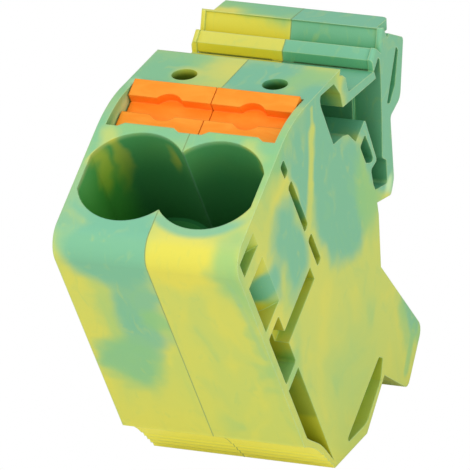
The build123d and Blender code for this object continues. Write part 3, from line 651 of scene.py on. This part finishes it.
def strip_piece(name, stations, middle_x, props):
    """A strip of spring steel along the stations, its long edges softened and its top kept under the button's foot."""
    bm = bmesh.new()
    half_width = props.width_mm / 2.0
    half = props.thickness_mm / 2.0
    corners = ((-half_width, half), (half_width, half), (half_width, -half), (-half_width, -half))
    rings = [
        [
            bm.verts.new(row(middle_x + x, u + out * normal_u, min(w + out * normal_w, FOOT_STOP_W)))
            for x, out in corners
        ]
        for u, w, normal_u, normal_w in stations
    ]
    long_edges = []
    for near, far in zip(rings, rings[1:]):
        for i in range(4):
            bm.faces.new((near[i], near[(i + 1) % 4], far[(i + 1) % 4], far[i]))
        long_edges += [bm.edges.get((near[i], far[i])) for i in range(4)]
    bm.faces.new(rings[0])
    bm.faces.new(rings[-1])
    bmesh.ops.bevel(bm, geom=long_edges, offset=props.edge_mm / MM_PER_M, segments=EDGE_SEGMENTS, profile=0.5,
                    affect="EDGES")
    bmesh.ops.recalc_face_normals(bm, faces=bm.faces)
    mesh = bpy.data.meshes.new(name)
    bm.to_mesh(mesh)
    bm.free()
    obj = bpy.data.objects.new(name, mesh)
    bpy.context.collection.objects.link(obj)
    return obj


def dress(obj, material):
    """Puts one material on an object."""
    obj.data.materials.clear()
    obj.data.materials.append(material)


def give(nodes, material):
    """Puts a material on CAD nodes."""
    for name in nodes:
        dress(frame["nodes"][name], material)


class TapoffPlastic(bpy.types.PropertyGroup):
    """Colours and finish of the moulded parts."""

    yellow: bpy.props.FloatVectorProperty(
        name="Yellow melt", description="Colour of the yellow melt", size=4, subtype="COLOR", min=0.0, max=1.0,
        default=(0.745, 0.68, 0.085, 1.0))
    lime: bpy.props.FloatVectorProperty(
        name="Lime", description="Colour where the melts are mixed", size=4, subtype="COLOR", min=0.0, max=1.0,
        default=(0.58, 0.64, 0.125, 1.0))
    green: bpy.props.FloatVectorProperty(
        name="Green", description="Colour of thin green melt", size=4, subtype="COLOR", min=0.0, max=1.0,
        default=(0.28, 0.56, 0.20, 1.0))
    teal: bpy.props.FloatVectorProperty(
        name="Green melt", description="Colour of the blue-green melt", size=4, subtype="COLOR", min=0.0, max=1.0,
        default=(0.20, 0.50, 0.29, 1.0))
    orange: bpy.props.FloatVectorProperty(
        name="Orange", description="Colour of the release buttons", size=4, subtype="COLOR", min=0.0, max=1.0,
        default=(1.0, 0.28, 0.015, 1.0))
    orange_pale: bpy.props.FloatVectorProperty(
        name="Pale orange", description="Paler flow in the buttons", size=4, subtype="COLOR", min=0.0, max=1.0,
        default=(1.0, 0.34, 0.03, 1.0))
    # Pale colour of the painted highlight on sharp edges; also laid on in some patches and streaks.
    pale: bpy.props.FloatVectorProperty(
        name="Pale edge", description="Colour of thin plastic along the edges", size=4, subtype="COLOR", min=0.0,
        max=1.0, default=(0.62, 0.86, 0.42, 1.0))
    # Colour of the painted sheen on surfaces that face up.
    sheen: bpy.props.FloatVectorProperty(
        name="Sheen", description="Cool colour that surfaces facing up take a little of", size=4, subtype="COLOR",
        min=0.0, max=1.0, default=(0.2, 0.75, 0.9, 1.0))
    # Colour of the painted light bounced from the floor onto the low front surface that faces down.
    bright: bpy.props.FloatVectorProperty(
        name="Bright yellow", description="Colour of the thin wall low at the front", size=4, subtype="COLOR",
        min=0.0, max=1.0, default=(0.92, 0.86, 0.115, 1.0))
    # Strength of the painted highlight on sharp edges.
    edge_highlight: bpy.props.FloatProperty(
        name="Edge paleness", description="How strongly the edges turn pale", default=0.45, min=0.0, max=1.0,
        subtype="FACTOR")
    # Strength of the painted shade between close walls.
    cavity_shade: bpy.props.FloatProperty(
        name="Deepening", description="How much the colour deepens between close walls", default=0.75, min=0.0,
        max=2.0)
    # How far off walls may stand and still give painted shade, in millimetres.
    cavity_shade_reach_mm: bpy.props.FloatProperty(
        name="Deepening reach", description="How far off such walls may stand, in millimetres", default=6.0,
        min=0.5, max=20.0)
    plastic_roughness: bpy.props.FloatProperty(
        name="Roughness", description="Roughness of the moulded surfaces", default=0.5, min=0.05, max=1.0,
        subtype="FACTOR")
    edge_round_mm: bpy.props.FloatProperty(
        name="Edge rounding", description="Radius of the softly rounded edges, in millimetres", default=0.22,
        min=0.0, max=1.0)
    # Depth at which the funnels' painted shade is full, in millimetres.
    funnel_shade_depth_mm: bpy.props.FloatProperty(
        name="Funnel fade", description="Depth at which the funnels have darkened, in millimetres", default=7.0,
        min=0.5, max=15.0)
    funnel_green: bpy.props.FloatVectorProperty(
        name="Funnel green", description="Deep colour of the plastic inside the funnels", size=4, subtype="COLOR",
        min=0.0, max=1.0, default=(0.11, 0.43, 0.13, 1.0))
    # Tint of the painted shade deep in the funnels.
    funnel_shade_tint: bpy.props.FloatVectorProperty(
        name="Depth tint", description="Tint of the plastic deep in the funnels", size=4,
        subtype="COLOR", min=0.0, max=1.0, default=(0.29, 0.53, 0.50, 1.0))
    waver_mm: bpy.props.FloatProperty(
        name="Waver", description="How far the streaks wander, in millimetres", default=1.4, min=0.0, max=5.0)
    # Tint of the painted glow where light would come through the funnels' thin outer wall.
    glow_through_tint: bpy.props.FloatVectorProperty(
        name="Thin wall tint", description="Tint in the funnels where light comes through their thin outer wall",
        size=4, subtype="COLOR", min=0.0, max=1.0, default=(0.55, 0.90, 0.45, 1.0))
    # Tint of the painted shade deep in the test holes.
    hole_shade_tint: bpy.props.FloatVectorProperty(
        name="Hole tint", description="Tint of the plastic deep in the test holes", size=4, subtype="COLOR",
        min=0.0, max=1.0, default=(0.32, 0.40, 0.2, 1.0))
    swirl_mm: bpy.props.FloatProperty(
        name="Swirl", description="How far the patches' edges wander, in millimetres", default=7.0, min=0.0,
        max=20.0)


class TapoffSpring(bpy.types.PropertyGroup):
    """Sizes of the clamping springs' bent strip."""

    thickness_mm: bpy.props.FloatProperty(
        name="Thickness", description="Thickness of the strip, in millimetres", default=0.5, min=0.1, max=1.0)
    width_mm: bpy.props.FloatProperty(
        name="Width", description="Width of the strip, in millimetres", default=6.6, min=1.0, max=9.0)
    edge_mm: bpy.props.FloatProperty(
        name="Edge", description="Softening of the strip's long edges, in millimetres", default=0.06, min=0.01,
        max=0.2)
    bend_radius_mm: bpy.props.FloatProperty(
        name="Bend radius", description="Radius of the bend's middle line, in millimetres", default=1.9, min=0.5,
        max=4.0)
    upper_slope: bpy.props.FloatProperty(
        name="Upper slope", description="How steeply the upper leg falls to the front",
        default=math.radians(14.0), subtype="ANGLE")
    lower_slope: bpy.props.FloatProperty(
        name="Lower slope", description="How steeply the lower leg falls to the front",
        default=math.radians(16.0), subtype="ANGLE")
    leg_run_mm: bpy.props.FloatProperty(
        name="Upper leg", description="How far the upper leg reaches in front of the bend, in millimetres",
        default=10.7297, min=1.0, max=20.0)
    heel_run_mm: bpy.props.FloatProperty(
        name="Lower leg", description="How far the lower leg reaches in front of the bend, in millimetres",
        default=9.0, min=1.0, max=20.0)
    give_start_mm: bpy.props.FloatProperty(
        name="Flexing from", description="Where in front of the bend the upper leg starts to flex, in millimetres",
        default=0.3, min=0.0, max=2.0)
    give_end_mm: bpy.props.FloatProperty(
        name="Flexing to", description="Where in front of the bend the upper leg goes with its button, in millimetres",
        default=2.5, min=2.1, max=10.0)


class TapoffStudio(bpy.types.PropertyGroup):
    """Light and camera."""

    lens: bpy.props.FloatProperty(
        name="Lens", description="Focal length on a 36 mm sensor", default=792.17, min=50.0, unit="CAMERA")
    camera_place: bpy.props.FloatVectorProperty(
        name="Camera place", description="Where the camera stands", size=3, subtype="TRANSLATION",
        default=(0.41370966, -0.90394117, 0.46173105))
    camera_turn: bpy.props.FloatVectorProperty(
        name="Camera turn", description="How the camera is turned", size=3, subtype="EULER",
        default=(math.radians(66.17688), math.radians(3.596596), math.radians(23.07604)))
    sky: bpy.props.FloatProperty(
        name="Room light", description="Strength of the even light from all around", default=0.64, min=0.0)
    key_power: bpy.props.FloatProperty(
        name="Key light", description="Power of the soft light above the front", default=2.65, min=0.0,
        unit="POWER")
    fill_power: bpy.props.FloatProperty(
        name="Fill light", description="Power of the soft light at the right", default=1.7, min=0.0, unit="POWER")
    low_power: bpy.props.FloatProperty(
        name="Low light", description="Power of the soft light low in front", default=1.3, min=0.0, unit="POWER")


class TAPOFF_OT_housing(bpy.types.Operator):
    """Give both moulded halves their marbled plastic"""

    bl_idname = "tapoff.housing"
    bl_label = "Housing halves"

    def execute(self, context):
        props = context.scene.tapoff_plastic
        looks = ((LEFT_PATCHES, LEFT_STREAKS), (RIGHT_PATCHES, RIGHT_STREAKS))
        for name, (patches, streaks) in zip(HOUSINGS, looks):
            give((name,), marbled(name + "_plastic", patches, streaks, props))
        return {"FINISHED"}


class TAPOFF_OT_buttons(bpy.types.Operator):
    """Give the release buttons their orange plastic"""

    bl_idname = "tapoff.buttons"
    bl_label = "Release buttons"

    def execute(self, context):
        give(BUTTONS, orange_plastic("button_orange", context.scene.tapoff_plastic))
        return {"FINISHED"}


class TAPOFF_OT_springs(bpy.types.Operator):
    """Build the clamping springs as an upper leg and a bend, and hide the CAD springs"""

    bl_idname = "tapoff.springs"
    bl_label = "Clamping springs"

    def execute(self, context):
        props = context.scene.tapoff_spring
        for side, middle_x in (("left", -FUNNEL_X), ("right", FUNNEL_X)):
            leg = strip_piece("spring_leg_" + side, leg_stations(props), middle_x, props)
            start = row(middle_x, *leg_point(props, props.give_start_mm))
            end = row(middle_x, *leg_point(props, props.give_end_mm))
            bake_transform(leg)
            bend = strip_piece("spring_bend_" + side, bend_stations(props), middle_x, props)
            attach(bend, "housing")
            for piece in (leg, bend):
                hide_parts("clamp_spring_" + side)
        return {"FINISHED"}


class TAPOFF_OT_metal(bpy.types.Operator):
    """Give the springs, bars, blade and rivets their metals"""

    bl_idname = "tapoff.metal"
    bl_label = "Metal parts"

    def execute(self, context):
        steel = rolled_metal("spring_strip")
        give(SPRINGS, steel)
        for obj in bpy.data.objects:
            if obj.name.startswith(SPRING_PIECES):
                dress(obj, steel)
        give(CONTACTS, rolled_metal("tinned_bar"))
        give(RIVETS, rolled_metal("rivet_metal"))
        return {"FINISHED"}


def soft_light(name, power, size, place):
    """A square area light that looks at the middle of the object."""
    data = bpy.data.lights.new(name, "AREA")
    data.energy = power
    data.size = size
    obj = bpy.data.objects.new(name, data)
    obj.location = place
    x, y, z = (t - p for t, p in zip(LIGHT_TARGET, place))
    obj.rotation_euler = Euler((math.atan2(math.hypot(x, y), -z), 0.0, math.atan2(-x, y)))
    bpy.context.collection.objects.link(obj)


class TAPOFF_OT_stage(bpy.types.Operator):
    """Set up the floor, the soft lights and the camera"""

    bl_idname = "tapoff.stage"
    bl_label = "Studio"

    def execute(self, context):
        scene = context.scene
        props = scene.tapoff_studio
        bpy.ops.mesh.primitive_plane_add(size=FLOOR_SIZE, location=(0.0, 0.0, 0.0))
        floor = context.object
        floor.name = "studio_floor"
        g = Graph("studio_floor_white")
        pale = g.node("ShaderNodeBsdfDiffuse", {"Color": FLOOR_COLOUR})
        white = g.node("ShaderNodeEmission", {"Color": WHITE, "Strength": 1.0})
        seen = g.node("ShaderNodeLightPath", out="Is Camera Ray")
        floor.data.materials.append(g.surface(g.node("ShaderNodeMixShader", {0: seen, 1: pale, 2: white})))

        world = bpy.data.worlds.new("studio_room")
        world.use_nodes = True
        background = world.node_tree.nodes["Background"].inputs
        background["Color"].default_value = WHITE
        background["Strength"].default_value = props.sky
        scene.world = world

        soft_light("key_light", props.key_power, KEY_SIZE, KEY_PLACE)
        soft_light("fill_light", props.fill_power, FILL_SIZE, FILL_PLACE)
        soft_light("low_light", props.low_power, LOW_SIZE, LOW_PLACE)

        camera_data = bpy.data.cameras.new("photo_camera")
        camera_data.lens = props.lens
        camera_data.sensor_width = SENSOR_MM
        camera_data.clip_start = CLIP_NEAR
        camera_data.clip_end = CLIP_FAR
        camera = bpy.data.objects.new("photo_camera", camera_data)
        camera.location = props.camera_place
        camera.rotation_euler = Euler(props.camera_turn)
        context.collection.objects.link(camera)
        scene.camera = camera
        scene.view_settings.view_transform = "Standard"
        return {"FINISHED"}


class TAPOFF_PT_panel(bpy.types.Panel):
    """Steps and settings of the tap-off block's look"""

    bl_label = "Tap-off block"
    bl_idname = "TAPOFF_PT_panel"
    bl_space_type = "VIEW_3D"
    bl_region_type = "UI"
    bl_category = "Tap-off block"

    def draw(self, context):
        layout = self.layout
        for operator in STEPS:
            layout.operator(operator.bl_idname)
        scene = context.scene
        groups = (("Plastic", scene.tapoff_plastic), ("Springs", scene.tapoff_spring), ("Studio", scene.tapoff_studio))
        for group, settings in groups:
            box = layout.box()
            box.label(text=group)
            for key in settings.__annotations__:
                box.prop(settings, key)


STEPS = (TAPOFF_OT_housing, TAPOFF_OT_buttons, TAPOFF_OT_springs, TAPOFF_OT_metal, TAPOFF_OT_stage)
CLASSES = (TapoffPlastic, TapoffSpring, TapoffStudio) + STEPS + (TAPOFF_PT_panel,)


def register():
    for cls in CLASSES:
        bpy.utils.register_class(cls)
    bpy.types.Scene.tapoff_plastic = bpy.props.PointerProperty(type=TapoffPlastic)
    bpy.types.Scene.tapoff_spring = bpy.props.PointerProperty(type=TapoffSpring)
    bpy.types.Scene.tapoff_studio = bpy.props.PointerProperty(type=TapoffStudio)


def unregister():
    del bpy.types.Scene.tapoff_studio
    del bpy.types.Scene.tapoff_spring
    del bpy.types.Scene.tapoff_plastic
    for cls in reversed(CLASSES):
        bpy.utils.unregister_class(cls)


def main():
    register()
    bpy.ops.tapoff.housing()
    bpy.ops.tapoff.buttons()
    bpy.ops.tapoff.springs()
    bpy.ops.tapoff.metal()
    bpy.ops.tapoff.stage()


if __name__ == "__main__":
    main()
